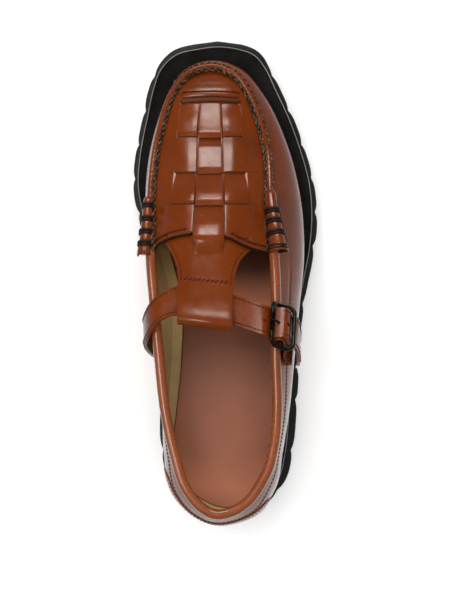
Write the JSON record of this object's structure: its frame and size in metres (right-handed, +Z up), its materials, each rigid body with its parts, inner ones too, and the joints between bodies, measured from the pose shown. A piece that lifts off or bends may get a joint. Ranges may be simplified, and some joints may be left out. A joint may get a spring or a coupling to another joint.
{
  "type": "loafer",
  "caption": "Right T-bar loafer: woven leather apron with a raised seam, padded collar, buckled ankle strap, chunky lugged rubber sole.",
  "frame": {"origin": "on the floor, under the middle of the shoe's bounding box", "axes": "+Y towards the toe, +X towards the wearer's right, which is the little-toe side of this right shoe, +Z up from the floor"},
  "size_m": [0.1046, 0.2686, 0.1036],
  "materials": {
    "sole_rubber": "satin moulded black rubber",
    "upper_leather": "glossy saddle-brown leather",
    "insole_leather": "smooth pinkish-brown sock leather",
    "buckle_metal": "dark gunmetal"
  },
  "bodies": {
    "root": {"midsole": "sole_rubber", "outsole": "sole_rubber", "heel": "sole_rubber", "insole": "insole_leather", "upper": "upper_leather", "collar_roll": "upper_leather", "apron_seam": "upper_leather", "beefroll_lateral": "upper_leather", "beefroll_medial": "upper_leather", "t_bar": "upper_leather", "strap": "upper_leather", "buckle_tab": "upper_leather", "buckle_frame": "buckle_metal", "buckle_prong": "buckle_metal"}
  },
  "joints": []
}
